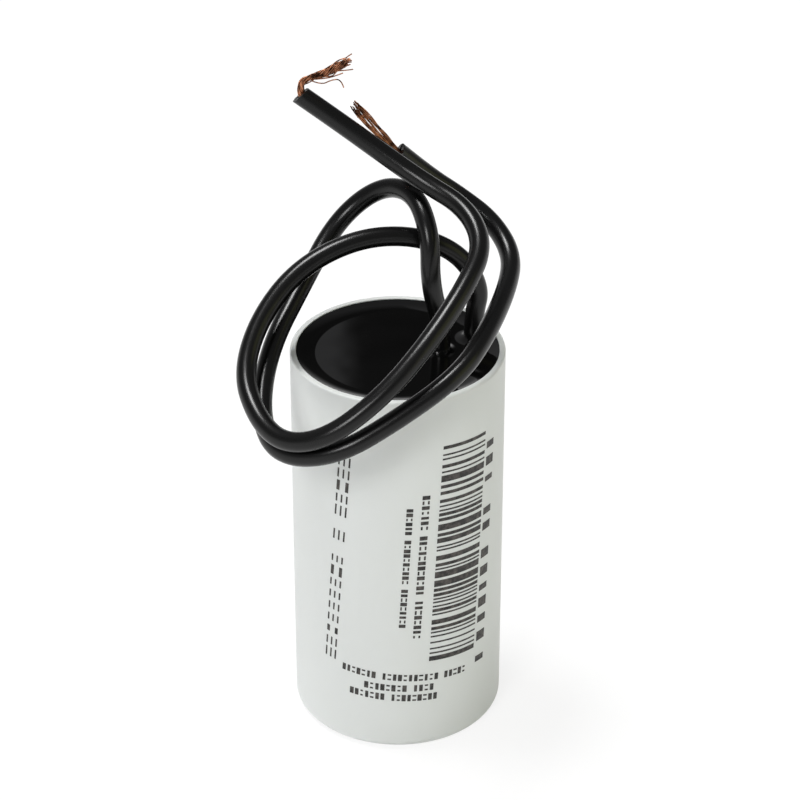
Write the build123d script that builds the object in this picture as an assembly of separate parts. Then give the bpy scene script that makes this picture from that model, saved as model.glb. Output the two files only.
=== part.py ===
from build123d import *
import math
import os

# Motor run capacitor in a round plastic can: a wound film roll cast in resin, with two flying leads.
# Millimetres, +Z up. The origin is the centre of the underside, and the object is seen from -Y.

# Can
can_diameter = 35.0
can_height = 68.0
can_wall = 1.0
can_floor = 1.2
can_foot_round = 1.8
can_rim_round = 0.35
can_rim_inner_round = 0.15

# Underside: a shallow panel inside the ring that the can stands on, with the moulding gate in it
foot_ring_width = 4.5
foot_panel_depth = 0.4
gate_diameter = 3.2
gate_recess = 0.15

# Ribs on the can's floor that hold the roll up while the resin flows under it
rib_count = 4
rib_thickness = 1.2
rib_height = 3.0
rib_wall_gap = 1.5
rib_core_gap = 1.0

# Roll, which leaves room for resin all round
resin_beside_roll = 2.0
resin_above_roll = 9.85
wrap_thickness = 0.3
core_wall = 1.1
spray_thickness = 0.6
spray_edge_round = 0.25

# Resin surface
resin_below_rim = 0.75
bare_wall_above_resin = 0.2
wall_meniscus_width = 3.1
lead_meniscus_width = 1.6
lead_meniscus_rise = 0.4

# Leads
lead_diameter = 3.2
copper_diameter = 1.25
lead_1_wall_gap = 1.7
lead_1_angle = 20.4
lead_spacing = 6.2
lead_2_angle = 4.9
lead_core_gap = 0.8
lead_joint_above_meniscus = 0.15
corner_share = 0.45

# Potted stretch of each lead
root_drop = 4.0
lead_1_strip_height = 2.6
lead_2_bend_height = 2.4
lead_2_strip_height = 3.2
tail_lying_length = 2.5
tail_bend = 1.0
tail_clearance = 0.1

# Solder
solder_diameter = 4.4
solder_cover = 0.15

# Bare copper ends
split_bundle_diameter = 0.75
split_bundle_gap = 0.12
split_direction = (0.35, 0, 0.94)
stray_strand_diameter = 0.3
lead_1_copper_leave = 0.7
lead_2_copper_leave = 1.5

can_radius = can_diameter / 2
bore_radius = can_radius - can_wall
lead_radius = lead_diameter / 2
copper_radius = copper_diameter / 2
core_bore_radius = lead_radius + lead_core_gap
core_radius = core_bore_radius + core_wall
wrapped_radius = bore_radius - resin_beside_roll
roll_radius = wrapped_radius - wrap_thickness
contact_radius = (core_radius + wrapped_radius) / 2

resin_top = can_height - resin_below_rim
roll_bottom = can_floor + rib_height
roll_top = resin_top - resin_above_roll
film_bottom = roll_bottom + spray_thickness
film_top = roll_top - spray_thickness
lead_start = resin_top + lead_meniscus_rise + lead_joint_above_meniscus
lead_1_exit_radius = bore_radius - lead_1_wall_gap - lead_radius
lead_2_exit_radius = lead_1_exit_radius - lead_spacing

# Each free lead rises straight to a height above the rim, then bends towards these places in turn
# up to its cut end. A place is x, y and the height above the rim.
lead_1_upright = 3.5
lead_1_route = [
    (13.4, 4.8, 8.3),
    (10.2, 5.0, 14.4),
    (3.0, 4.5, 18.2),
    (-6.5, 2.5, 18.7),
    (-15.9, -1.5, 15.3),
    (-22.0, -7.5, 9.4),
    (-24.4, -14.5, 3.5),
    (-21.8, -22.0, -0.3),
    (-17.4, -28.0, -1.2),
    (-10.5, -30.5, 2.0),
    (-2.0, -27.5, 7.6),
    (5.0, -21.5, 13.5),
    (10.5, -13.5, 18.5),
    (13.5, -5.5, 21.5),
    (11.0, 1.5, 24.5),
    (4.0, 6.0, 27.0),
    (-3.0, 8.8, 31.1),
    (-9.0, 10.5, 35.1),
    (-15.3, 11.6, 39.4),
]
lead_2_upright = 4.5
lead_2_route = [
    (5.3, -0.8, 12.0),
    (5.3, 1.2, 20.1),
    (2.7, 8.0, 24.3),
    (-2.9, 13.5, 22.5),
    (-9.8, 12.5, 16.6),
    (-14.8, 4.5, 9.9),
    (-20.3, -7.0, 3.5),
    (-21.8, -18.0, -2.3),
    (-18.4, -26.0, -4.7),
    (-9.5, -29.5, -2.7),
    (0.0, -26.5, 2.3),
    (9.5, -20.0, 6.3),
    (14.0, -11.5, 9.1),
    (17.5, -2.0, 12.0),
    (18.5, 5.5, 14.0),
    (15.4, 11.0, 17.3),
    (10.0, 13.4, 20.9),
    (5.0, 13.2, 24.7),
    (0.5, 12.0, 29.3),
]

# Bare copper bends towards these places after it leaves the cut end of its lead
lead_1_bundle_route = [(-15.8, 11.7, 42.5), (-11.5, 11.2, 43.8), (-7.3, 10.3, 46.5)]
lead_1_stray_routes = [
    [(-12.2, 11.3, 43.4), (-10.2, 11.0, 43.0), (-8.8, 10.9, 41.6)],
    [(-10.8, 11.0, 44.0), (-9.2, 10.4, 43.4), (-7.8, 10.0, 43.5)],
    [(-10.6, 11.0, 44.3), (-8.8, 11.2, 46.4), (-7.4, 11.1, 47.2)],
    [(-10.2, 10.8, 44.6), (-8.4, 9.8, 44.9), (-6.8, 9.4, 45.7)],
]
lead_2_bundle_routes = [
    [(-4.2, 12.0, 35.0), (-7.1, 12.0, 38.4)],
    [(-4.7, 11.2, 33.9), (-6.8, 11.2, 37.0)],
]


def ring(outer_radius, inner_radius, bottom, top):
    """Upright tube between two heights."""
    height = top - bottom
    body = Cylinder(outer_radius, height, align=(Align.CENTER, Align.CENTER, Align.MIN))
    bore = Cylinder(inner_radius, height, align=(Align.CENTER, Align.CENTER, Align.MIN))
    return Pos(0, 0, bottom) * (body - bore)


def disc(radius, bottom, top):
    """Upright solid cylinder between two heights."""
    return Pos(0, 0, bottom) * Cylinder(radius, top - bottom, align=(Align.CENTER, Align.CENTER, Align.MIN))


def turned(profile):
    """Solid of revolution of an XZ profile about Z."""
    return revolve(profile, Axis.Z)


def beside_axis(radius, degrees, height):
    """Place at a distance from the axis, at an angle round it and at a height."""
    angle = math.radians(degrees)
    return (radius * math.cos(angle), radius * math.sin(angle), height)


def above_rim(route):
    """The places of a route, with their heights counted from the object's underside."""
    return [(x, y, can_height + height) for x, y, height in route]


def lead_path(exit_radius, exit_angle, upright, route):
    """Full route of a free lead, from its joint above the resin to its cut end."""
    rise = [
        beside_axis(exit_radius, exit_angle, lead_start),
        beside_axis(exit_radius, exit_angle, can_height + upright),
    ]
    return rise + above_rim(route)


def arc_radii(points):
    """Radius at each bend of a path: as large as the two straight runs beside it allow."""
    places = [Vector(*point) for point in points]
    radii = []
    for before, corner, after in zip(places, places[1:], places[2:]):
        first, second = corner - before, after - corner
        half_turn = math.radians(first.get_angle(second)) / 2
        radii.append(corner_share * min(first.length, second.length) / math.tan(half_turn))
    return radii


def bent_rod(radius, points, radii=None):
    """Round rod along straight runs joined by tangent arcs."""
    path = FilletPolyline(*points, radius=radii or arc_radii(points))
    start = Vector(*points[0])
    section = Plane(origin=start, z_dir=Vector(*points[1]) - start) * Circle(radius)
    return sweep(section, path=path)


def cavity():
    """Inside of the can, from its floor to its rim."""
    inside = disc(bore_radius, can_floor, can_height)
    return fillet(inside.edges().sort_by(Axis.Z)[0], can_foot_round - can_wall)


def floor_ribs():
    """Radial ribs on the can's floor, clear of the core and of the can's wall."""
    inner = core_radius + rib_core_gap
    outer = bore_radius - rib_wall_gap
    rib = Pos(inner, 0, can_floor) * Box(
        outer - inner, rib_thickness, rib_height, align=(Align.MIN, Align.CENTER, Align.MIN)
    )
    first_angle = 180 / rib_count
    return [Rot(0, 0, first_angle + 360 / rib_count * index) * rib for index in range(rib_count)]


def make_case():
    """Moulded can: closed at the bottom, with a plain rounded rim."""
    body = disc(can_radius, 0, can_height)
    body = fillet(body.edges().sort_by(Axis.Z)[0], can_foot_round)
    body = fillet(body.edges().sort_by(Axis.Z)[-1], can_rim_round)
    body -= cavity()
    rim = body.edges().filter_by(GeomType.CIRCLE).group_by(Axis.Z)[-1]
    body = fillet(rim.sort_by(SortBy.RADIUS)[0], can_rim_inner_round)
    panel_radius = can_radius - can_foot_round - foot_ring_width
    body -= disc(panel_radius, 0, foot_panel_depth)
    body += disc(gate_diameter / 2, gate_recess, foot_panel_depth)
    for rib in floor_ribs():
        body += rib
    return body


def make_core():
    return ring(core_radius, core_bore_radius, roll_bottom, roll_top)


def make_film_winding():
    return ring(roll_radius, core_radius, film_bottom, film_top)


def make_outer_wrap():
    return ring(wrapped_radius, roll_radius, film_bottom, film_top)


def make_end_spray(bottom, rough_side):
    """Sprayed metal layer on one end of the roll, round at its free outer edge."""
    layer = ring(wrapped_radius, core_radius, bottom, bottom + spray_thickness)
    edges = layer.edges().filter_by(GeomType.CIRCLE).group_by(Axis.Z)[rough_side]
    return fillet(edges.sort_by(SortBy.RADIUS)[-1], spray_edge_round)


def lead_1_knee():
    """Place where potted lead 1 turns from upright to leaning inwards."""
    return beside_axis(lead_1_exit_radius, lead_1_angle, resin_top - root_drop)


def lead_1_tail_points():
    """Where lead 1 comes down on the upper contact, and where its copper ends there."""
    lying = roll_top + tail_clearance + copper_radius
    return [
        beside_axis(contact_radius + tail_lying_length, lead_1_angle, lying),
        beside_axis(contact_radius, lead_1_angle, lying),
    ]


def lead_1_strip_point():
    """Place between the knee and the upper contact where the insulation ends."""
    knee, landing = Vector(*lead_1_knee()), Vector(*lead_1_tail_points()[0])
    share = (knee.Z - roll_top - lead_1_strip_height) / (knee.Z - landing.Z)
    return tuple(knee + (landing - knee) * share)


def make_lead_1_root():
    """Potted stretch of lead 1: down from the resin's top, then leaning in over the upper contact."""
    joint = beside_axis(lead_1_exit_radius, lead_1_angle, lead_start)
    return bent_rod(lead_radius, [joint, lead_1_knee(), lead_1_strip_point()])


def make_lead_1_tail():
    """Stripped copper of lead 1, bent to lie on the upper contact."""
    return bent_rod(copper_radius, [lead_1_strip_point(), *lead_1_tail_points()], [tail_bend])


def make_lead_2_root():
    """Potted stretch of lead 2: across to the roll's axis, then down through the core."""
    return bent_rod(
        lead_radius,
        [
            beside_axis(lead_2_exit_radius, lead_2_angle, lead_start),
            beside_axis(lead_2_exit_radius, lead_2_angle, resin_top - root_drop),
            (0, 0, roll_top + lead_2_bend_height),
            (0, 0, roll_bottom + lead_2_strip_height),
        ],
    )


def make_lead_2_tail():
    """Stripped copper of lead 2, bent out under the lower contact."""
    lying = roll_bottom - tail_clearance - copper_radius
    strip_point = (0, 0, roll_bottom + lead_2_strip_height)
    return bent_rod(
        copper_radius, [strip_point, (0, 0, lying), (contact_radius, 0, lying)], [tail_bend]
    )


def solder_drop():
    """Domed drop of solder that stands on z = 0 and just covers the copper in it."""
    height = tail_clearance + copper_diameter + solder_cover
    ball_radius = ((solder_diameter / 2) ** 2 + height**2) / (2 * height)
    ball = Pos(0, 0, height - ball_radius) * Sphere(ball_radius)
    return ball & disc(ball_radius, 0, ball_radius)


def make_lead_1_solder():
    place = beside_axis(contact_radius, lead_1_angle, roll_top)
    return Pos(*place) * solder_drop() - make_lead_1_tail()


def make_lead_2_solder():
    drop = Rot(180, 0, 0) * solder_drop()
    return Pos(contact_radius, 0, roll_bottom) * drop - make_lead_2_tail()


def meniscus(touching_radius, width, rise, outward):
    """XZ profile of resin that has crept up a wall: a hollow arc that runs out flat."""
    side = 1 if outward else -1
    curve = (width**2 + rise**2) / (2 * rise)
    end = touching_radius + side * width
    middle_angle = math.asin(width / curve) / 2
    middle = (
        end - side * curve * math.sin(middle_angle),
        resin_top + curve * (1 - math.cos(middle_angle)),
    )
    return make_face(
        ThreePointArc((touching_radius, resin_top + rise), middle, (end, resin_top))
        + Polyline(
            (end, resin_top),
            (end, resin_top - rise),
            (touching_radius, resin_top - rise),
            (touching_radius, resin_top + rise),
        )
    )


def make_resin(cast_in):
    """Casting resin: fills the can round all that is cast into it, and creeps up the wall and leads."""
    resin = cavity() & disc(bore_radius, 0, resin_top)
    wall_rise = resin_below_rim - bare_wall_above_resin
    resin += turned(Plane.XZ * meniscus(bore_radius, wall_meniscus_width, wall_rise, False))
    creep = turned(
        Plane.XZ * meniscus(lead_radius, lead_meniscus_width, lead_meniscus_rise, True)
    )
    bore = disc(bore_radius, 0, can_height)
    resin += (Pos(*beside_axis(lead_1_exit_radius, lead_1_angle, 0)) * creep) & bore
    resin += (Pos(*beside_axis(lead_2_exit_radius, lead_2_angle, 0)) * creep) & bore
    for piece in cast_in:
        resin -= piece
    return resin


def cut_end(path):
    """Plane of a lead's cut end, looking along the lead."""
    end, before = Vector(*path[-1]), Vector(*path[-2])
    return Plane(origin=end, z_dir=end - before)


def make_lead_1_strands(path):
    """Twisted copper end of lead 1: bent over sharply, with stray strands near its tip."""
    end = cut_end(path)
    leave = end.origin + end.z_dir * (lead_1_copper_leave + copper_radius)
    bundle = bent_rod(
        copper_radius, [tuple(end.origin), tuple(leave), *above_rim(lead_1_bundle_route)]
    )
    for stray in lead_1_stray_routes:
        bundle += bent_rod(stray_strand_diameter / 2, above_rim(stray))
    return bundle


def make_lead_2_strands(path):
    """Copper end of lead 2, parted into two thin bundles that leave the cut side by side."""
    end = cut_end(path)
    radius = split_bundle_diameter / 2
    across = Vector(*split_direction)
    across = (across - end.z_dir * across.dot(end.z_dir)).normalized()
    offset = across * (radius + split_bundle_gap / 2)
    bundles = []
    for start, route in zip((end.origin + offset, end.origin - offset), lead_2_bundle_routes):
        leave = start + end.z_dir * lead_2_copper_leave
        bundles.append(bent_rod(radius, [tuple(start), tuple(leave), *above_rim(route)]))
    return bundles


def write(shape, node):
    """Writes one node, and says what it holds."""
    if isinstance(shape, list):
        shape = Compound(children=[solid for piece in shape for solid in piece.solids()])
    export_step(shape, f"parts/{node}.step")
    print(node, "solids", len(shape.solids()), "volume", round(shape.volume, 1))


def write_lead(path, node):
    """Writes one free lead, and compares its volume with its section times its length."""
    radii = arc_radii(path)
    tube = bent_rod(lead_radius, path, radii)
    length = FilletPolyline(*path, radius=radii).length
    print(node, "length", round(length, 1), "radii", [round(radius, 1) for radius in radii])
    print(node, "volume share", round(tube.volume / (math.pi * lead_radius**2 * length), 4))
    write(tube, node)


os.makedirs("parts", exist_ok=True)

cast_in = {
    "film_winding": make_film_winding(),
    "winding_core": make_core(),
    "outer_wrap": make_outer_wrap(),
    "end_spray_top": make_end_spray(film_top, -1),
    "end_spray_bottom": make_end_spray(roll_bottom, 0),
    "lead_1_root": make_lead_1_root(),
    "lead_2_root": make_lead_2_root(),
    "lead_1_tail": make_lead_1_tail(),
    "lead_2_tail": make_lead_2_tail(),
    "lead_1_solder": make_lead_1_solder(),
    "lead_2_solder": make_lead_2_solder(),
}
for name, piece in cast_in.items():
    write(piece, name)
write(make_case(), "case")
write(make_resin([*cast_in.values(), *floor_ribs()]), "potting_resin")

lead_1_path = lead_path(lead_1_exit_radius, lead_1_angle, lead_1_upright, lead_1_route)
lead_2_path = lead_path(lead_2_exit_radius, lead_2_angle, lead_2_upright, lead_2_route)
write_lead(lead_1_path, "lead_1")
write_lead(lead_2_path, "lead_2")
write(make_lead_1_strands(lead_1_path), "lead_1_strands")
write(make_lead_2_strands(lead_2_path), "lead_2_strands")
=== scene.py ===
import math
import random

import bmesh
import bpy
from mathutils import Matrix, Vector


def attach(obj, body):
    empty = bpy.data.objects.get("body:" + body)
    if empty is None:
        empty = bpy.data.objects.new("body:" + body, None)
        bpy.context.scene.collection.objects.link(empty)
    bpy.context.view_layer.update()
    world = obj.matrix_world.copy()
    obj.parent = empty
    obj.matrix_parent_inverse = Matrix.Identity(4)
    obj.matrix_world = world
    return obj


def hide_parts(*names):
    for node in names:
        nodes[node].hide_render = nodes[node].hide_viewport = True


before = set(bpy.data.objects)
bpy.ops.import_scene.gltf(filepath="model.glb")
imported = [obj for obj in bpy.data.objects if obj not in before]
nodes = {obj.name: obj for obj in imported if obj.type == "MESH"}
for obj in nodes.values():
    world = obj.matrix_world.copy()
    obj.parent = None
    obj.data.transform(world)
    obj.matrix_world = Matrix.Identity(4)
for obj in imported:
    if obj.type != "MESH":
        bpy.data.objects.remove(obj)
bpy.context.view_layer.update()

# Film roll: polypropylene film with a skin of vapour-deposited aluminium, wound on a moulded tube
# and closed with turns of plain film. The turns are far finer than a picture shows, so they are
# drawn 0.3 mm apart.
MM = 0.001
TURN_SPACING = 0.3 * MM
FILM_CLOUD = 4.5 * MM


def linear(hex_colour):
    """Linear RGBA of an sRGB hex colour."""
    channels = [int(hex_colour[i : i + 2], 16) / 255 for i in (1, 3, 5)]
    return [c / 12.92 if c <= 0.04045 else ((c + 0.055) / 1.055) ** 2.4 for c in channels] + [1]


def add_node(material, kind, inputs=None, **settings):
    """Adds a shader node with its settings. An input that is a socket is linked, another is set."""
    tree = material.node_tree
    node = tree.nodes.new("ShaderNode" + kind)
    for name, value in settings.items():
        setattr(node, name, value)
    for key, value in (inputs or {}).items():
        if isinstance(value, bpy.types.NodeSocket):
            tree.links.new(value, node.inputs[key])
        else:
            node.inputs[key].default_value = value
    return node


def start_material(name, **shader_inputs):
    """A material with its principled shader, and the object coordinates that its patterns read."""
    material = bpy.data.materials.new(name)
    material.use_nodes = True
    shader = material.node_tree.nodes["Principled BSDF"]
    for key, value in shader_inputs.items():
        shader.inputs[key.replace("_", " ")].default_value = value
    place = add_node(material, "TexCoord").outputs["Object"]
    return material, shader, place


def feed(material, shader, **sockets):
    """Links sockets to the shader's inputs of the same names."""
    for key, socket in sockets.items():
        material.node_tree.links.new(socket, shader.inputs[key.replace("_", " ")])


def paint(material, *pieces):
    """Gives each piece this material alone."""
    for piece in pieces:
        piece.data.materials.clear()
        piece.data.materials.append(material)


# The aluminium skin gives the roll a grey mirror sheen. A wave node repeats every pi / 10 units.
film, film_shader, film_place = start_material(
    "metallised_polypropylene_film", Metallic=0.9, Roughness=0.25
)
turns = add_node(
    film,
    "TexWave",
    {"Vector": film_place, "Scale": math.pi / 10 / TURN_SPACING, "Distortion": 0.4},
    wave_type="RINGS",
    rings_direction="Z",
)
turn_shades = add_node(film, "ValToRGB", {"Fac": turns.outputs["Fac"]})
turn_shades.color_ramp.elements[0].color = linear("#8d9095")
turn_shades.color_ramp.elements[1].color = linear("#c6c9cd")
feed(film, film_shader, Base_Color=turn_shades.outputs["Color"])
paint(film, nodes["film_winding"])

# Several turns of clear film on each other look milky white and smooth.
plain_film, wrap_shader, wrap_place = start_material(
    "plain_polypropylene_film", Roughness=0.18, IOR=1.49
)
cloudiness = add_node(plain_film, "TexNoise", {"Vector": wrap_place, "Scale": 1 / FILM_CLOUD})
wrap_shades = add_node(plain_film, "ValToRGB", {"Fac": cloudiness.outputs["Fac"]})
wrap_shades.color_ramp.elements[0].color = linear("#c9c9c2")
wrap_shades.color_ramp.elements[1].color = linear("#dcdcd6")
feed(plain_film, wrap_shader, Base_Color=wrap_shades.outputs["Color"])
paint(plain_film, nodes["outer_wrap"])

# Core tube: natural polypropylene, extruded and cut to the film's width. Without a dye it is
# slightly milky, and the draw of the die leaves it satin.
TUBE_CLOUD = 2.5 * MM
tube_plastic, tube_shader, tube_place = start_material(
    "natural_polypropylene", Roughness=0.4, IOR=1.49
)
tube_clouds = add_node(tube_plastic, "TexNoise", {"Vector": tube_place, "Scale": 1 / TUBE_CLOUD})
tube_shades = add_node(tube_plastic, "ValToRGB", {"Fac": tube_clouds.outputs["Fac"]})
tube_shades.color_ramp.elements[0].color = linear("#d2cfc2")
tube_shades.color_ramp.elements[1].color = linear("#e3e1d6")
feed(tube_plastic, tube_shader, Base_Color=tube_shades.outputs["Color"])
paint(tube_plastic, nodes["winding_core"])

# End contacts: molten zinc sprayed on the film's edges. The droplets freeze as they land, so the
# layer is grey and gritty.
DROPLET = 0.25 * MM
zinc, zinc_shader, zinc_place = start_material("flame_sprayed_zinc", Metallic=1, Roughness=0.55)
droplets = add_node(zinc, "TexVoronoi", {"Vector": zinc_place, "Scale": 1 / DROPLET})
zinc_shades = add_node(zinc, "ValToRGB", {"Fac": droplets.outputs["Distance"]})
zinc_shades.color_ramp.elements[0].color = linear("#a3a4a6")
zinc_shades.color_ramp.elements[1].color = linear("#6f7073")
zinc_grit = add_node(
    zinc,
    "Bump",
    {"Height": droplets.outputs["Distance"], "Distance": 0.2 * DROPLET, "Strength": 0.8},
    invert=True,
)
feed(zinc, zinc_shader, Base_Color=zinc_shades.outputs["Color"], Normal=zinc_grit.outputs["Normal"])
paint(zinc, nodes["end_spray_top"], nodes["end_spray_bottom"])

# Solder: tin alloy drops that hold the stripped leads to the contacts. Their skin froze slightly
# wrinkled and dull.
WRINKLE = 1.1 * MM
WRINKLE_DEPTH = 0.05 * MM
solder, solder_shader, solder_place = start_material("tin_solder", Metallic=1, Roughness=0.32)
wrinkles = add_node(
    solder, "TexNoise", {"Vector": solder_place, "Scale": 1 / WRINKLE, "Detail": 4}
)
solder_shades = add_node(solder, "ValToRGB", {"Fac": wrinkles.outputs["Fac"]})
solder_shades.color_ramp.elements[0].color = linear("#8e8f90")
solder_shades.color_ramp.elements[1].color = linear("#d0d1d2")
solder_skin = add_node(
    solder, "Bump", {"Height": wrinkles.outputs["Fac"], "Distance": WRINKLE_DEPTH, "Strength": 0.6}
)
feed(
    solder,
    solder_shader,
    Base_Color=solder_shades.outputs["Color"],
    Normal=solder_skin.outputs["Normal"],
)
paint(solder, nodes["lead_1_solder"], nodes["lead_2_solder"])

# Can: injection moulded in one piece with its floor and ribs, in white filled polypropylene. The
# polished tool leaves it satin, with a faint orange peel and patches of slightly different gloss.
PEEL = 1.4 * MM
PEEL_DEPTH = 0.02 * MM
GLOSS_PATCH = 9 * MM
can_plastic, can_shader, can_place = start_material(
    "moulded_white_polypropylene",
    Base_Color=linear("#d8dbd9"),
    IOR=1.49,
    Specular_IOR_Level=0.4,
    Subsurface_Weight=0.12,
    Subsurface_Radius=(1.0, 0.95, 0.85),
    Subsurface_Scale=0.8 * MM,
)
gloss_patches = add_node(
    can_plastic, "TexNoise", {"Vector": can_place, "Scale": 1 / GLOSS_PATCH, "Detail": 3}
)
can_gloss = add_node(
    can_plastic,
    "MapRange",
    {"Value": gloss_patches.outputs["Fac"], "To Min": 0.36, "To Max": 0.5},
)
peel = add_node(can_plastic, "TexNoise", {"Vector": can_place, "Scale": 1 / PEEL, "Detail": 2})
can_skin = add_node(
    can_plastic, "Bump", {"Height": peel.outputs["Fac"], "Distance": PEEL_DEPTH, "Strength": 0.5}
)
feed(
    can_plastic,
    can_shader,
    Roughness=can_gloss.outputs["Result"],
    Normal=can_skin.outputs["Normal"],
)
paint(can_plastic, nodes["case"])

# Casting resin: black two-part polyurethane, poured in nearly to the rim. It levels itself to a
# glossy surface that creeps up the wall and the leads, and is very slightly wavy.
SWELL = 7 * MM
SWELL_DEPTH = 0.03 * MM
HAZE_PATCH = 3 * MM
resin, resin_shader, resin_place = start_material(
    "cast_black_polyurethane", Base_Color=linear("#060606"), IOR=1.5
)
swells = add_node(resin, "TexNoise", {"Vector": resin_place, "Scale": 1 / SWELL, "Detail": 1})
resin_surface = add_node(
    resin, "Bump", {"Height": swells.outputs["Fac"], "Distance": SWELL_DEPTH, "Strength": 0.5}
)
haze = add_node(resin, "TexNoise", {"Vector": resin_place, "Scale": 1 / HAZE_PATCH, "Detail": 5})
resin_gloss = add_node(
    resin, "MapRange", {"Value": haze.outputs["Fac"], "To Min": 0.02, "To Max": 0.07}
)
feed(
    resin,
    resin_shader,
    Roughness=resin_gloss.outputs["Result"],
    Normal=resin_surface.outputs["Normal"],
)
paint(resin, nodes["potting_resin"])

# Leads: stranded copper in black PVC insulation, 3.2 mm over all. The extruded insulation is
# smooth and glossy, slightly duller where it was handled. Each lead was bent by hand and stands
# up by its own stiffness. Its route is a list of control points in millimetres.
LEAD_RADIUS = 1.6 * MM
HANDLED_PATCH = 6 * MM
GRAIN = 0.5 * MM
GRAIN_DEPTH = 0.008 * MM
LEAD_1_ROUTE = [
    (12.37, 4.6, 67.8),
    (12.37, 4.6, 71.5),
    (13.4, 4.8, 76.3),
    (10.2, 5.0, 82.4),
    (3.0, 4.5, 86.2),
    (-6.5, 2.5, 86.7),
    (-15.9, -1.5, 83.3),
    (-22.0, -7.5, 77.4),
    (-24.4, -14.5, 71.5),
    (-21.8, -22.0, 67.7),
    (-17.4, -28.0, 66.8),
    (-10.5, -30.5, 69.5),
    (-2.0, -27.5, 75.35),
    (5.0, -21.5, 81.5),
    (10.5, -13.5, 86.5),
    (13.5, -5.5, 89.5),
    (11.0, 1.5, 92.5),
    (4.0, 6.0, 95.0),
    (-3.0, 8.8, 99.1),
    (-9.0, 10.5, 103.1),
    (-15.1, 11.6, 107.25),
]
LEAD_2_ROUTE = [
    (6.97, 0.6, 67.8),
    (6.97, 0.6, 72.5),
    (5.2, -0.8, 80.0),
    (5.2, 1.2, 88.1),
    (2.7, 8.0, 92.3),
    (-2.9, 13.5, 90.5),
    (-9.9, 12.5, 84.7),
    (-15.05, 4.5, 77.95),
    (-20.6, -7.0, 71.55),
    (-21.8, -18.0, 65.7),
    (-18.4, -26.0, 63.3),
    (-9.5, -29.5, 65.7),
    (0.0, -26.5, 70.4),
    (9.5, -22.0, 75.7),
    (14.0, -13.5, 78.3),
    (17.5, -2.0, 80.0),
    (18.5, 5.5, 82.0),
    (15.4, 11.0, 85.3),
    (10.0, 13.4, 88.7),
    (5.0, 13.2, 92.3),
    (0.5, 12.0, 96.9),
]


def smooth_curve(name, route, radius):
    """Round cord along a NURBS spline that has the places of a route as its control points."""
    curve = bpy.data.curves.new(name, "CURVE")
    curve.dimensions = "3D"
    curve.resolution_u = 16
    spline = curve.splines.new("NURBS")
    spline.points.add(len(route) - 1)
    for point, place in zip(spline.points, route):
        point.co = (*(MM * c for c in place), 1)
    spline.order_u = 3
    spline.use_endpoint_u = True
    curve.bevel_depth = radius
    curve.bevel_resolution = 8
    curve.use_fill_caps = True
    cord = bpy.data.objects.new(name, curve)
    bpy.context.collection.objects.link(cord)
    return cord


insulation, insulation_shader, insulation_place = start_material(
    "extruded_black_pvc",
    Base_Color=linear("#090909"),
    IOR=1.53,
    Specular_IOR_Level=0.3,
)
handling = add_node(
    insulation, "TexNoise", {"Vector": insulation_place, "Scale": 1 / HANDLED_PATCH, "Detail": 4}
)
insulation_gloss = add_node(
    insulation, "MapRange", {"Value": handling.outputs["Fac"], "To Min": 0.22, "To Max": 0.3}
)
grain = add_node(
    insulation, "TexNoise", {"Vector": insulation_place, "Scale": 1 / GRAIN, "Detail": 3}
)
insulation_skin = add_node(
    insulation, "Bump", {"Height": grain.outputs["Fac"], "Distance": GRAIN_DEPTH, "Strength": 0.08}
)
feed(
    insulation,
    insulation_shader,
    Roughness=insulation_gloss.outputs["Result"],
    Normal=insulation_skin.outputs["Normal"],
)
lead_1 = smooth_curve("lead_1_insulation", LEAD_1_ROUTE, LEAD_RADIUS)
lead_2 = smooth_curve("lead_2_insulation", LEAD_2_ROUTE, LEAD_RADIUS)
paint(insulation, lead_1, lead_2, nodes["lead_1_root"], nodes["lead_2_root"])
for lead, node in ((lead_1, "lead_1"), (lead_2, "lead_2")):
    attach(lead, "root")
    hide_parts(node)

# Cut ends: the last millimetre of each lead's insulation, where a stripping tool nicked it and tore
# it off. The face is oblique and a little ragged, with an open bore that the strands come out of.
BORE_RADIUS = 0.75 * MM
BORE_DEPTH = 0.7 * MM
END_LENGTH = 1.3 * MM
END_REACH = 0.35 * MM
RIM_WIDTH = 0.1 * MM
RIM_HEIGHT = 0.06 * MM
RIM_TEAR = 0.05 * MM
BORE_TEAR = 0.04 * MM
INNER_TAPER = 0.98
FACE_SWELL = 1.02
# A face lies across the lead when its normal's part along the lead is at least this.
ACROSS = 0.9


def select_faces(piece, wanted):
    """In edit mode, selects only the faces of a piece that the given test accepts."""
    mesh = bmesh.from_edit_mesh(piece.data)
    for face in mesh.faces:
        face.select_set(wanted(face))
    mesh.select_flush_mode()
    bmesh.update_edit_mesh(piece.data)


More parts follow.
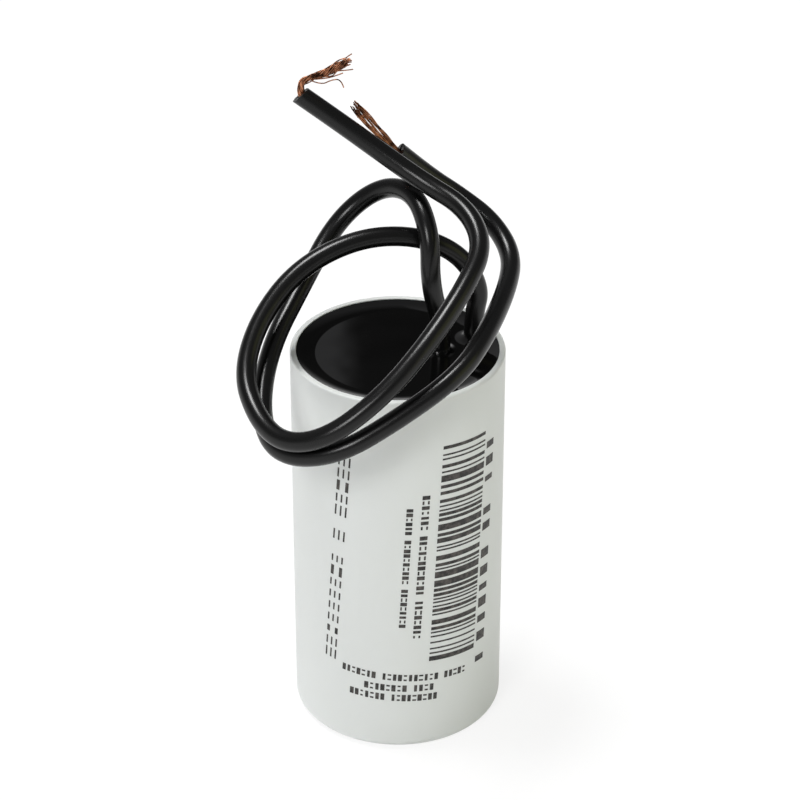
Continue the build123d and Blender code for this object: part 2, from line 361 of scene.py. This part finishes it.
def make_cut_end(name, route, slant, seed):
    """Short sleeve round a lead's end, with an oblique cut face, a rounded rim and an open bore."""
    end = MM * Vector(route[-1])
    along = (end - MM * Vector(route[-2])).normalized()
    inner_end = end - END_LENGTH * along
    face_centre = end + END_REACH * along
    bpy.ops.object.select_all(action="DESELECT")
    bpy.ops.mesh.primitive_cylinder_add(
        vertices=48,
        radius=LEAD_RADIUS,
        depth=END_LENGTH,
        location=end + (END_REACH - END_LENGTH / 2) * along,
        rotation=along.to_track_quat("Z", "Y").to_euler(),
    )
    sleeve = bpy.context.object
    sleeve.name = name
    bpy.ops.object.transform_apply(location=True, rotation=True, scale=True)
    bpy.ops.object.mode_set(mode="EDIT")
    bpy.ops.mesh.select_mode(type="FACE")
    select_faces(sleeve, lambda face: face.normal.dot(along) < -ACROSS)
    bpy.ops.transform.resize(value=[INNER_TAPER] * 3, center_override=inner_end)
    select_faces(sleeve, lambda face: face.normal.dot(along) > ACROSS)
    # With no window the rotate operator turns the other way, hence the minus.
    bpy.ops.transform.rotate(value=-slant, orient_axis="Y", center_override=face_centre)
    bpy.ops.transform.resize(value=[FACE_SWELL] * 3, center_override=face_centre)
    bpy.ops.mesh.inset(thickness=RIM_WIDTH)
    bpy.ops.transform.translate(value=RIM_HEIGHT * along)
    bpy.ops.transform.vertex_random(offset=RIM_TEAR, uniform=1, normal=0, seed=seed)
    bpy.ops.mesh.inset(thickness=LEAD_RADIUS - BORE_RADIUS - RIM_WIDTH)
    bpy.ops.transform.vertex_random(offset=BORE_TEAR, uniform=1, normal=0, seed=seed + 1)
    bpy.ops.mesh.extrude_region_move(TRANSFORM_OT_translate={"value": -BORE_DEPTH * along})
    bpy.ops.object.mode_set(mode="OBJECT")
    bpy.ops.object.shade_smooth_by_angle(angle=math.radians(40))
    paint(insulation, sleeve)
    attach(sleeve, "root")
    return sleeve


cut_end_1 = make_cut_end("lead_1_cut_end", LEAD_1_ROUTE, slant=math.radians(14), seed=11)
cut_end_2 = make_cut_end("lead_2_cut_end", LEAD_2_ROUTE, slant=math.radians(-14), seed=23)

# Bare copper: fine soft strands, stripped and roughly twisted by hand. They have darkened where
# they were handled, and are brightest where they are freshly bent. They are drawn 0.2 mm thick.
STRAND_RADIUS = 0.1 * MM
TARNISH_PATCH = 1.2 * MM
GOLDEN_ANGLE = math.radians(137.5)
LEAST_SWAY = 0.1
MOST_SWAY = 0.35
ANGLE_WAVES = 9
SPREAD_WAVES = 7
SHORTEST_STRAND = 0.9
COPPER_1_ROUTE = [
    (-14.4, 11.4, 106.8),
    (-15.0, 11.6, 107.3),
    (-15.3, 11.7, 108.3),
    (-15.2, 11.7, 109.7),
    (-13.9, 11.6, 110.5),
    (-12.1, 11.3, 111.1),
    (-9.9, 11.0, 112.5),
    (-7.1, 10.5, 114.1),
]
COPPER_1_STRAYS = [
    [(-13.6, 11.3, 110.1), (-12.0, 10.4, 109.8), (-10.4, 9.7, 111.0), (-8.9, 9.5, 111.2),
     (-8.5, 9.6, 109.7)],
    [(-13.0, 11.2, 110.4), (-11.4, 10.6, 110.8), (-9.9, 10.4, 111.3), (-8.6, 10.3, 111.9)],
    [(-12.6, 11.1, 110.9), (-10.6, 10.4, 111.1), (-9.6, 10.5, 111.9), (-8.9, 10.8, 113.3)],
    [(-10.4, 10.9, 111.9), (-8.6, 11.2, 113.7), (-7.6, 11.1, 114.6), (-7.2, 10.9, 114.9)],
    [(-10.0, 10.6, 112.1), (-8.2, 9.9, 112.5), (-7.0, 9.5, 112.9)],
]
COPPER_2_ROUTES = [
    [(1.2, 12.3, 96.3), (0.1, 12.0, 97.3), (-1.5, 12.0, 99.6), (-2.9, 12.0, 101.4),
     (-4.4, 11.9, 103.3), (-5.8, 11.8, 105.1), (-7.1, 11.7, 106.5)],
    [(1.2, 12.2, 96.1), (0.0, 11.8, 97.0), (-1.7, 11.7, 98.8), (-3.8, 11.5, 101.0),
     (-5.4, 11.4, 103.0), (-6.5, 11.4, 104.5), (-7.2, 11.5, 106.0)],
]
COPPER_2_STRAYS = [
    [(0.0, 12.0, 97.2), (-2.6, 12.0, 100.4), (-4.4, 11.4, 102.2), (-6.4, 11.1, 103.9)],
    [(0.0, 11.8, 97.2), (-2.4, 11.6, 100.0), (-4.6, 11.9, 103.0), (-7.0, 11.6, 105.9)],
    [(-0.6, 11.9, 98.0), (-3.4, 11.5, 101.2), (-5.6, 11.7, 104.2), (-7.3, 11.3, 105.2)],
]
# The strands and the print are irregular, but the same each time.
random.seed(4)


def read_line(route):
    """The points along the NURBS spline that a route's places control."""
    guide = smooth_curve("guide", route, 0)
    line = bpy.data.meshes.new_from_object(guide)
    points = [vertex.co.copy() for vertex in line.vertices]
    bpy.data.meshes.remove(line)
    bpy.data.objects.remove(guide)
    return points


def twist(route, count, radius, lay, flare=0.0):
    """Lines of strands that wind loosely round a route, and spread by a flare at its far end.

    Each strand makes one turn per lay, and sways a little in its angle and in its distance.
    """
    centre_line = read_line(route)
    lengths = [0]
    for before, after in zip(centre_line, centre_line[1:]):
        lengths.append(lengths[-1] + (after - before).length)
    lines = []
    for index in range(count):
        layer = radius * math.sqrt((index + 0.5) / count)
        start_angle = index * GOLDEN_ANGLE
        sway = random.uniform(LEAST_SWAY, MOST_SWAY)
        sway_start = random.uniform(0, 2 * math.pi)
        reach = lengths[-1] * random.uniform(SHORTEST_STRAND, 1)
        line = []
        for step, (place, length) in enumerate(zip(centre_line, lengths)):
            if length > reach:
                break
            ahead = centre_line[min(step + 1, len(centre_line) - 1)]
            behind = centre_line[max(step - 1, 0)]
            along = (ahead - behind).normalized()
            side = along.cross(Vector((0, 1, 0))).normalized()
            up = side.cross(along)
            part = length / lengths[-1]
            turning = 2 * math.pi * length / lay
            angle = start_angle + turning + sway * math.sin(ANGLE_WAVES * part + sway_start)
            opening = 1 + flare * part**3
            spread = layer * opening * (1 + sway * math.sin(SPREAD_WAVES * part + sway_start))
            line.append(place + spread * (math.cos(angle) * side + math.sin(angle) * up))
        lines.append(line)
    return lines


def draw_strands(name, lines):
    """One mesh of bare strands, each a thin tube along its line of points."""
    curve = bpy.data.curves.new(name, "CURVE")
    curve.dimensions = "3D"
    curve.bevel_depth = STRAND_RADIUS
    curve.bevel_resolution = 2
    curve.use_fill_caps = True
    for line in lines:
        spline = curve.splines.new("POLY")
        spline.points.add(len(line) - 1)
        for point, place in zip(spline.points, line):
            point.co = (*place, 1)
    strands = bpy.data.objects.new(name, curve)
    bpy.context.collection.objects.link(strands)
    bpy.ops.object.select_all(action="DESELECT")
    bpy.context.view_layer.objects.active = strands
    strands.select_set(True)
    bpy.ops.object.convert(target="MESH")
    bpy.ops.object.shade_smooth()
    return strands


copper, copper_shader, copper_place = start_material("handled_bare_copper", Metallic=1)
tarnish = add_node(
    copper, "TexNoise", {"Vector": copper_place, "Scale": 1 / TARNISH_PATCH, "Detail": 4}
)
copper_shades = add_node(copper, "ValToRGB", {"Fac": tarnish.outputs["Fac"]})
copper_shades.color_ramp.elements[0].position = 0.38
copper_shades.color_ramp.elements[0].color = linear("#3e261c")
copper_shades.color_ramp.elements[1].position = 0.62
copper_shades.color_ramp.elements[1].color = linear("#c28664")
copper_gloss = add_node(
    copper, "MapRange", {"Value": tarnish.outputs["Fac"], "To Min": 0.5, "To Max": 0.28}
)
feed(
    copper,
    copper_shader,
    Base_Color=copper_shades.outputs["Color"],
    Roughness=copper_gloss.outputs["Result"],
)
strands_1 = draw_strands(
    "lead_1_bare_strands",
    twist(COPPER_1_ROUTE, count=24, radius=0.52 * MM, lay=8 * MM, flare=0.55)
    + [read_line(stray) for stray in COPPER_1_STRAYS],
)
strands_2 = draw_strands(
    "lead_2_bare_strands",
    twist(COPPER_2_ROUTES[0], count=9, radius=0.27 * MM, lay=12 * MM, flare=0.2)
    + twist(COPPER_2_ROUTES[1], count=9, radius=0.3 * MM, lay=14 * MM, flare=0.2)
    + [read_line(stray) for stray in COPPER_2_STRAYS],
)
paint(copper, strands_1, strands_2, nodes["lead_1_tail"], nodes["lead_2_tail"])
for strands, node in ((strands_1, "lead_1_strands"), (strands_2, "lead_2_strands")):
    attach(strands, "root")
    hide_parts(node)

# Print: black ink, pad printed on the can in one pass and set slightly askew. It is a plain
# pattern of blocks, stripes and bars that says nothing. The ink lies thin, so it dries matte and
# uneven, and its corners are round.
CAN_RADIUS = 17.5 * MM
INK_THICKNESS = 0.06 * MM
INK_CORNER = 0.06 * MM
INK_PATCH = 0.8 * MM
# From here, lengths are in millimetres on the unrolled wall. A mark larger than this is divided,
# so that it bends round the can.
WIDEST_FLAT = 1.4
# For each sign of a row's pattern, the lift and the height of its stripes, as shares of the row's.
STRIPES = {
    "#": [(0, 1)],
    "=": [(-0.34, 0.24), (0.34, 0.24)],
    "%": [(-0.4, 0.12), (0, 0.12), (0.4, 0.12)],
}
# Each row's start and end (round the wall, and up from the floor), its height and its pattern.
PRINT_ROWS = [
    ((-12.2, 16.0), (-8.8, 57.0), 2.4, "%%=%%%%=% % %%=%%"),
    ((0.7, 24.8), (2.0, 48.2), 1.1, "#=##=#=## =##=#=##=# ###=##"),
    ((3.1, 22.4), (4.7, 50.4), 1.3, "=##=#=## ##=#=##=#=## =##=#=#"),
    ((-9.8, 15.5), (12.3, 13.9), 1.3, "##=#=## #=##=##=#=# ##=#="),
    ((-5.8, 12.9), (6.2, 12.3), 1.3, "#=##=#=# ##=#"),
    ((-8.4, 11.1), (6.8, 10.3), 1.3, "##=#=## #=##=#=##"),
]
# A block takes this share of its place in the row.
BLOCK_SHARES = (0.5, 0.82)
PRINT_LEAN = math.radians(3.2)
COLUMN_FOOT = (15.6, 14.4)
COLUMN_WIDTH = 2.1
COLUMN_HEIGHTS = (0.8, 1.9)
COLUMN_LEVELS = [14.4, 18.9, 22.3, 25.5, 28.4, 31.6, 35.0, 40.2, 43.1, 49.2, 52.5, 55.5]
FIELD_FOOT = (9.7, 17.4)
FIELD_TOP = 58.6
FIELD_WIDTH = 8.9
BAR_HEIGHTS = (0.3, 0.3, 0.3, 0.6, 0.6, 0.9, 1.2)
BAR_GAPS = (0.35, 0.35, 0.5, 0.6, 0.9)


def add_mark(place, slope, width, height):
    """In edit mode, adds a flat block on the unrolled wall, turned clockwise by its slope."""
    centre = (MM * place[0], 0, MM * place[1])
    bpy.ops.mesh.primitive_plane_add(size=MM, location=centre, rotation=(math.pi / 2, 0, 0))
    bpy.ops.transform.resize(value=(width, 1, height), center_override=centre)
    # With no window the rotate operator turns the other way, hence the minus.
    bpy.ops.transform.rotate(value=-slope, orient_axis="Y", center_override=centre)
    if max(width, height) > WIDEST_FLAT:
        bpy.ops.mesh.subdivide(number_cuts=math.ceil(max(width, height) / WIDEST_FLAT))
    else:
        bpy.ops.mesh.bevel(offset=INK_CORNER, segments=2, affect="VERTICES")


def add_row(start, end, height, pattern):
    """A row of blocks and stripes between two places, each with an even share of its length."""
    across, up = end[0] - start[0], end[1] - start[1]
    slope = -math.atan2(up, across)
    pitch = math.hypot(across, up) / len(pattern)
    for index, mark in enumerate(pattern):
        part = (index + 0.5) / len(pattern)
        width = pitch * random.uniform(*BLOCK_SHARES)
        for shift, share in STRIPES.get(mark, []):
            lift = shift * height
            place = (
                start[0] + part * across + lift * math.sin(slope),
                start[1] + part * up + lift * math.cos(slope),
            )
            add_mark(place, slope, width, share * height)


def leaning(foot, level):
    """How far round the wall a line is at a level, if it leans from its foot as the print does."""
    return foot[0] + (level - foot[1]) * math.tan(PRINT_LEAN)


bpy.ops.object.select_all(action="DESELECT")
print_mesh = bpy.data.meshes.new("can_print")
can_print = bpy.data.objects.new("can_print", print_mesh)
bpy.context.collection.objects.link(can_print)
bpy.context.view_layer.objects.active = can_print
bpy.ops.object.mode_set(mode="EDIT")
bpy.ops.mesh.select_mode(type="FACE")
for row in PRINT_ROWS:
    add_row(*row)
for level in COLUMN_LEVELS:
    place = (leaning(COLUMN_FOOT, level), level)
    add_mark(place, PRINT_LEAN, COLUMN_WIDTH, random.uniform(*COLUMN_HEIGHTS))
bar_bottom = FIELD_FOOT[1]
while bar_bottom < FIELD_TOP:
    bar_height = random.choice(BAR_HEIGHTS)
    place = (leaning(FIELD_FOOT, bar_bottom), bar_bottom + bar_height / 2)
    add_mark(place, PRINT_LEAN, FIELD_WIDTH, bar_height)
    bar_bottom += bar_height + random.choice(BAR_GAPS)
bpy.ops.object.mode_set(mode="OBJECT")
can_print.select_set(True)
ink_body = can_print.modifiers.new("ink_body", "SOLIDIFY")
ink_body.thickness = INK_THICKNESS
ink_body.offset = 0
wrap = can_print.modifiers.new("wrap", "SIMPLE_DEFORM")
wrap.deform_method = "BEND"
wrap.deform_axis = "Z"
sides = [vertex.co.x for vertex in print_mesh.vertices]
wrap.angle = (max(sides) - min(sides)) / CAN_RADIUS
bpy.ops.object.modifier_apply(modifier="ink_body")
bpy.ops.object.modifier_apply(modifier="wrap")
can_print.location.y = -CAN_RADIUS
bpy.ops.object.transform_apply(location=True)
ink, ink_shader, ink_place = start_material("pad_printed_black_ink", Roughness=0.55, IOR=1.5)
coverage = add_node(ink, "TexNoise", {"Vector": ink_place, "Scale": 1 / INK_PATCH, "Detail": 4})
ink_shades = add_node(ink, "ValToRGB", {"Fac": coverage.outputs["Fac"]})
ink_shades.color_ramp.elements[0].position = 0.4
ink_shades.color_ramp.elements[0].color = linear("#1c1a19")
ink_shades.color_ramp.elements[1].position = 0.75
ink_shades.color_ramp.elements[1].color = linear("#55504b")
feed(ink, ink_shader, Base_Color=ink_shades.outputs["Color"])
paint(ink, can_print)
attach(can_print, "root")

# Floor: a plain matte white table, wide enough to fill the view. It glows a little towards the
# eye, so that it shows white and keeps only a soft part of the object's shadow.
FLOOR_WIDTH = 4
FLOOR_GLOW = 1.05
GLOW_SHARE = 0.78
bpy.ops.object.select_all(action="DESELECT")
bpy.ops.mesh.primitive_plane_add(size=FLOOR_WIDTH)
floor = bpy.context.object
floor.name = "floor"
floor_paint, floor_shader, _ = start_material(
    "matte_white_floor", Base_Color=linear("#fafafa"), Roughness=0.9, Specular_IOR_Level=0.1
)
rays = add_node(floor_paint, "LightPath").outputs
seen = add_node(
    floor_paint, "Math", {0: rays["Is Camera Ray"], 1: rays["Is Glossy Ray"]}, operation="ADD"
)
seen_at_all = add_node(
    floor_paint,
    "Math",
    {0: seen.outputs["Value"], 1: rays["Is Transmission Ray"]},
    operation="ADD",
    use_clamp=True,
)
whiteness = add_node(
    floor_paint, "Math", {0: seen_at_all.outputs["Value"], 1: GLOW_SHARE}, operation="MULTIPLY"
)
glow = add_node(floor_paint, "Emission", {"Strength": FLOOR_GLOW})
floor_mix = add_node(
    floor_paint,
    "MixShader",
    {
        "Fac": whiteness.outputs["Value"],
        1: floor_shader.outputs["BSDF"],
        2: glow.outputs["Emission"],
    },
)
floor_paint.node_tree.links.new(
    floor_mix.outputs["Shader"], floor_paint.node_tree.nodes["Material Output"].inputs["Surface"]
)
paint(floor_paint, floor)

# Surround: pale at the horizon and dim above, as a room is round a lit table. High on the far side
# is a dark wall with a paler panel on its left, which the resin mirrors.
SURROUND_BY_HEIGHT = [
    (0.1, (0.85, 0.85, 0.85, 1)),
    (0.2, (0.4, 0.4, 0.4, 1)),
    (0.36, (0.2, 0.2, 0.205, 1)),
]
DARK_WALL = (0.035, 0.035, 0.035, 1)
PALE_PANEL = (0.25, 0.25, 0.255, 1)
# Where the wall begins, in depth and in height, and where its panel ends, as x over y. Each is a
# range, so that the edge is soft.
WALL_DEPTHS = (0.6, 0.78)
WALL_HEIGHTS = (0.2, 0.34)
PANEL_EDGE = (-0.026, -0.016)
world = bpy.data.worlds.new("studio")
world.use_nodes = True
bpy.context.scene.world = world
world_place = add_node(world, "TexCoord").outputs["Generated"]
heading = add_node(world, "SeparateXYZ", {"Vector": world_place})
surround = add_node(world, "ValToRGB", {"Fac": heading.outputs["Z"]})
surround.color_ramp.elements.new(0.5)
for stop, (height, shade) in zip(surround.color_ramp.elements, SURROUND_BY_HEIGHT):
    stop.position = height
    stop.color = shade
sideways = add_node(
    world, "Math", {0: heading.outputs["X"], 1: heading.outputs["Y"]}, operation="DIVIDE"
)
panel = add_node(
    world,
    "MapRange",
    {
        "Value": sideways.outputs["Value"],
        "From Min": PANEL_EDGE[0],
        "From Max": PANEL_EDGE[1],
        "To Min": 1,
        "To Max": 0,
    },
)
wall = add_node(world, "ValToRGB", {"Fac": panel.outputs["Result"]})
wall.color_ramp.elements[0].color = DARK_WALL
wall.color_ramp.elements[1].color = PALE_PANEL
far_side = add_node(
    world,
    "MapRange",
    {"Value": heading.outputs["Y"], "From Min": WALL_DEPTHS[0], "From Max": WALL_DEPTHS[1]},
)
above = add_node(
    world,
    "MapRange",
    {"Value": heading.outputs["Z"], "From Min": WALL_HEIGHTS[0], "From Max": WALL_HEIGHTS[1]},
)
wall_share = add_node(
    world, "Math", {0: far_side.outputs["Result"], 1: above.outputs["Result"]}, operation="MULTIPLY"
)
room = add_node(world, "Mix", {"Factor": wall_share.outputs["Value"]}, data_type="RGBA")
world.node_tree.links.new(surround.outputs["Color"], room.inputs["A"])
world.node_tree.links.new(wall.outputs["Color"], room.inputs["B"])
background = world.node_tree.nodes["Background"]
world.node_tree.links.new(room.outputs["Result"], background.inputs["Color"])


# Lamps: a strong soft box overhead, slightly left and behind, a weaker one above the front left,
# and a faint yellowish glow from the right. Places and sizes are in metres, powers in watts.
def add_soft_lamp(name, place, aim, size, power, tint="#ffffff"):
    """Square area lamp at a place, turned towards another."""
    lamp = bpy.data.lights.new(name, "AREA")
    lamp.shape = "SQUARE"
    lamp.size = size
    lamp.energy = power
    lamp.color = linear(tint)[:3]
    holder = bpy.data.objects.new(name, lamp)
    holder.location = place
    holder.rotation_euler = (Vector(aim) - Vector(place)).to_track_quat("-Z", "Y").to_euler()
    bpy.context.collection.objects.link(holder)


add_soft_lamp("key_lamp", (-0.34, 0.12, 1.42), aim=(0, 0, 0.08), size=0.42, power=15.0)
add_soft_lamp("front_lamp", (-0.42, -0.95, 0.88), aim=(0, 0, 0.05), size=0.36, power=6.0)
add_soft_lamp(
    "side_lamp", (1.0, -0.4, 0.5), aim=(0, 0, 0.05), size=0.8, power=1.2, tint="#eef09c"
)

# Camera: the photo's viewing angle, 31 degrees above the horizon, about half a metre away.
CAMERA_AIM = Vector((0.37, 0, 58.09)) * MM
CAMERA_DISTANCE = 490.9 * MM
CAMERA_ELEVATION = math.radians(30.91)
camera = bpy.data.objects.new("camera", bpy.data.cameras.new("camera"))
camera.data.lens = 135
camera.data.sensor_width = 36
camera.data.clip_start = 0.01
back = Vector((0, -math.cos(CAMERA_ELEVATION), math.sin(CAMERA_ELEVATION)))
camera.location = CAMERA_AIM + CAMERA_DISTANCE * back
camera.rotation_euler = (math.pi / 2 - CAMERA_ELEVATION, 0, 0)
bpy.context.collection.objects.link(camera)
bpy.context.scene.camera = camera
bpy.context.scene.view_settings.view_transform = "Standard"
